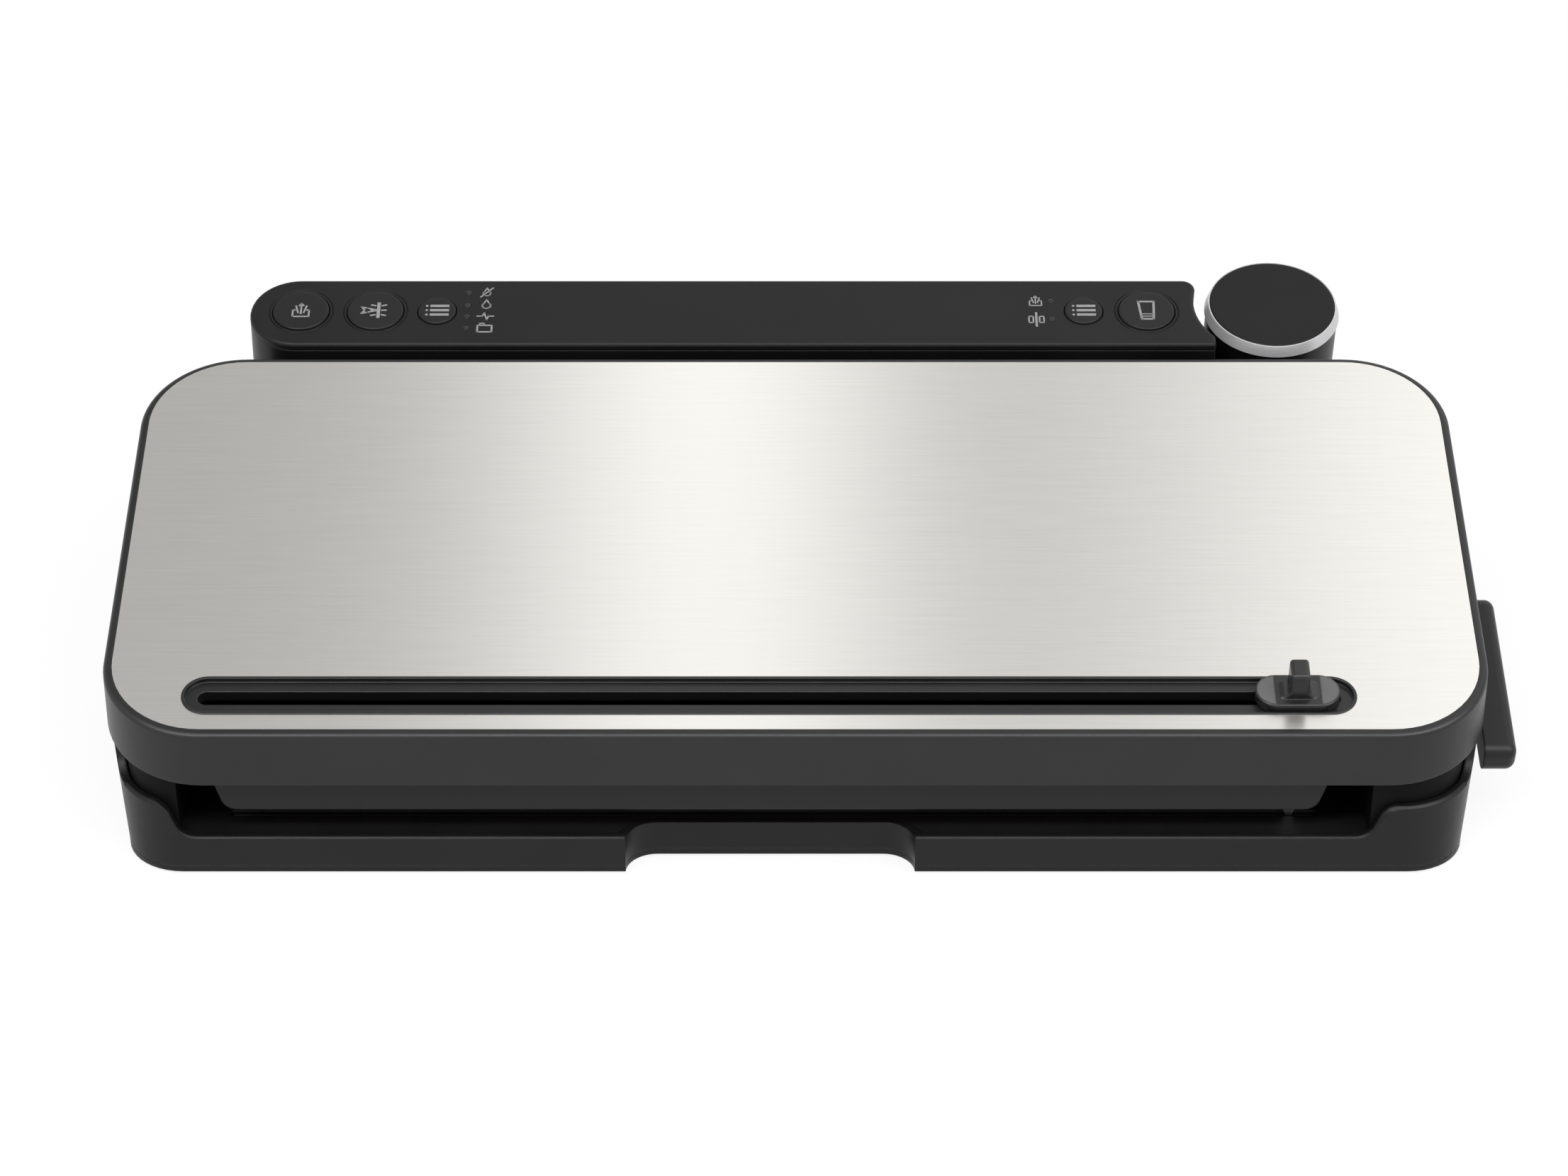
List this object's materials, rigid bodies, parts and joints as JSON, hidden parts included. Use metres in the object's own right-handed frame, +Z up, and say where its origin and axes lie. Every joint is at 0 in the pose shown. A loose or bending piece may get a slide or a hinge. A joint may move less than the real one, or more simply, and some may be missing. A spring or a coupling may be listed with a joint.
{
  "type": "vacuum sealer",
  "caption": "Wedge-shaped countertop vacuum sealer with a brushed steel lid, sliding bag cutter, side latch lever, rear control panel and a docked handheld sealer.",
  "frame": {"origin": "middle of the object's box, on the surface that its feet stand on", "axes": "+X to the user's right, +Y to the back, +Z up"},
  "size_m": [0.4204, 0.231, 0.0985],
  "materials": {
    "black_shell": "fine moulded texture",
    "lid_black": "satin black",
    "panel_black": "satin black",
    "steel": "brushed along the width",
    "track_black": "satin black",
    "slider_grey": "satin dark grey",
    "button_black": "satin black with pale symbols",
    "lens": "smoked light pipes",
    "bright_ring": "bright metal",
    "handheld_black": "black",
    "inner_black": "black moulding",
    "lever_black": "satin black",
    "tray_grey": "dark grey moulding",
    "foam": "closed-cell foam",
    "rubber": "soft rubber",
    "strip_rubber": "red-brown silicone",
    "seal_bar": "heat-proof moulding",
    "tape": "brown coated glass-cloth tape",
    "plain_steel": "plain steel",
    "pump_grey": "grey moulding",
    "hose": "milky silicone tube",
    "core": "varnished laminations",
    "coil": "enamelled copper",
    "board": "green circuit board",
    "switch_black": "black"
  },
  "bodies": {
    "base": {"base_shell": "black_shell", "bottom_cover": "black_shell", "cover_screws": "plain_steel", "rubber_feet": "rubber", "deck": "inner_black", "channel_tub": "inner_black", "latch_bridge": "inner_black", "roll_bay": "inner_black", "bay_fittings": "inner_black", "bag_stops": "inner_black", "drip_tray": "tray_grey", "lower_gasket": "foam", "seal_bar": "seal_bar", "heating_strip": "tape", "latch_bushes": "inner_black", "rear_housing": "black_shell", "control_panel": "panel_black", "control_board": "board", "board_screws": "plain_steel", "tact_switches": "switch_black", "indicator_lenses": "lens", "pump_motor": "plain_steel", "pump_head": "pump_grey", "pump_mounts": "rubber", "motor_cradle": "inner_black", "air_valve": "pump_grey", "vacuum_hose": "hose", "dock_hose": "hose", "transformer_core": "core", "transformer_coil": "coil", "main_board": "board", "cord_gland": "black_shell", "lid_switch": "switch_black", "dock_cup": "black_shell", "dock_seal": "rubber"},
    "lid": {"lid_shell": "lid_black", "steel_plate": "steel", "cutter_track": "track_black", "lid_liner": "inner_black", "upper_gasket": "foam", "pressure_strip": "strip_rubber", "liner_screws": "plain_steel", "hinge_pins": "plain_steel", "lid_catches": "inner_black"},
    "cutter": {"cutter_slider": "slider_grey", "blade_carrier": "inner_black", "cutter_blade": "plain_steel"},
    "latch": {"latch_lever": "lever_black", "latch_shaft": "plain_steel", "latch_hooks": "inner_black"},
    "rotor": {"pump_rotor": "plain_steel"},
    "handheld": {"handheld_cap": "handheld_black", "handheld_ring": "bright_ring", "handheld_grip": "handheld_black", "handheld_nozzle": "rubber"},
    "vacuum_seal_button": {"vacuum_seal_button": "button_black"},
    "seal_button": {"seal_button": "button_black"},
    "handheld_button": {"handheld_button": "button_black"},
    "food_mode_button": {"food_mode_button": "button_black"},
    "speed_button": {"speed_button": "button_black"}
  },
  "joints": [
    {"name": "lid_hinge", "type": "hinge", "parent": "base", "child": "lid", "pos_m": [0, 0.03891, 0.07944], "axis": [-1, 0, 0], "range_deg": [0, 62]},
    {"name": "cutter_slide", "type": "slide", "parent": "lid", "child": "cutter", "axis": [1, 0, 0], "range_m": [-0.308, 0]},
    {"name": "latch_turn", "type": "hinge", "parent": "base", "child": "latch", "pos_m": [0, -0.04196, 0.0384], "axis": [1, 0, 0], "range_deg": [0, 16]},
    {"name": "pump_spin", "type": "hinge", "parent": "base", "child": "rotor", "pos_m": [0, 0.07054, 0.03], "axis": [1, 0, 0], "continuous": true},
    {"name": "handheld_lift", "type": "slide", "parent": "base", "child": "handheld", "axis": [0, -0.225, 0.9744], "range_m": [0, 0.09]},
    {"name": "vacuum_seal_press", "type": "slide", "parent": "base", "child": "vacuum_seal_button", "axis": [0, 0.225, -0.9744], "range_m": [0, 0.0008], "stiffness_N_per_m": 800, "springref_m": -0.0008},
    {"name": "seal_press", "type": "slide", "parent": "base", "child": "seal_button", "axis": [0, 0.225, -0.9744], "range_m": [0, 0.0008], "stiffness_N_per_m": 800, "springref_m": -0.0008},
    {"name": "handheld_press", "type": "slide", "parent": "base", "child": "handheld_button", "axis": [0, 0.225, -0.9744], "range_m": [0, 0.0008], "stiffness_N_per_m": 800, "springref_m": -0.0008},
    {"name": "food_mode_press", "type": "slide", "parent": "base", "child": "food_mode_button", "axis": [0, 0.225, -0.9744], "range_m": [0, 0.0008], "stiffness_N_per_m": 800, "springref_m": -0.0008},
    {"name": "speed_press", "type": "slide", "parent": "base", "child": "speed_button", "axis": [0, 0.225, -0.9744], "range_m": [0, 0.0008], "stiffness_N_per_m": 800, "springref_m": -0.0008}
  ]
}
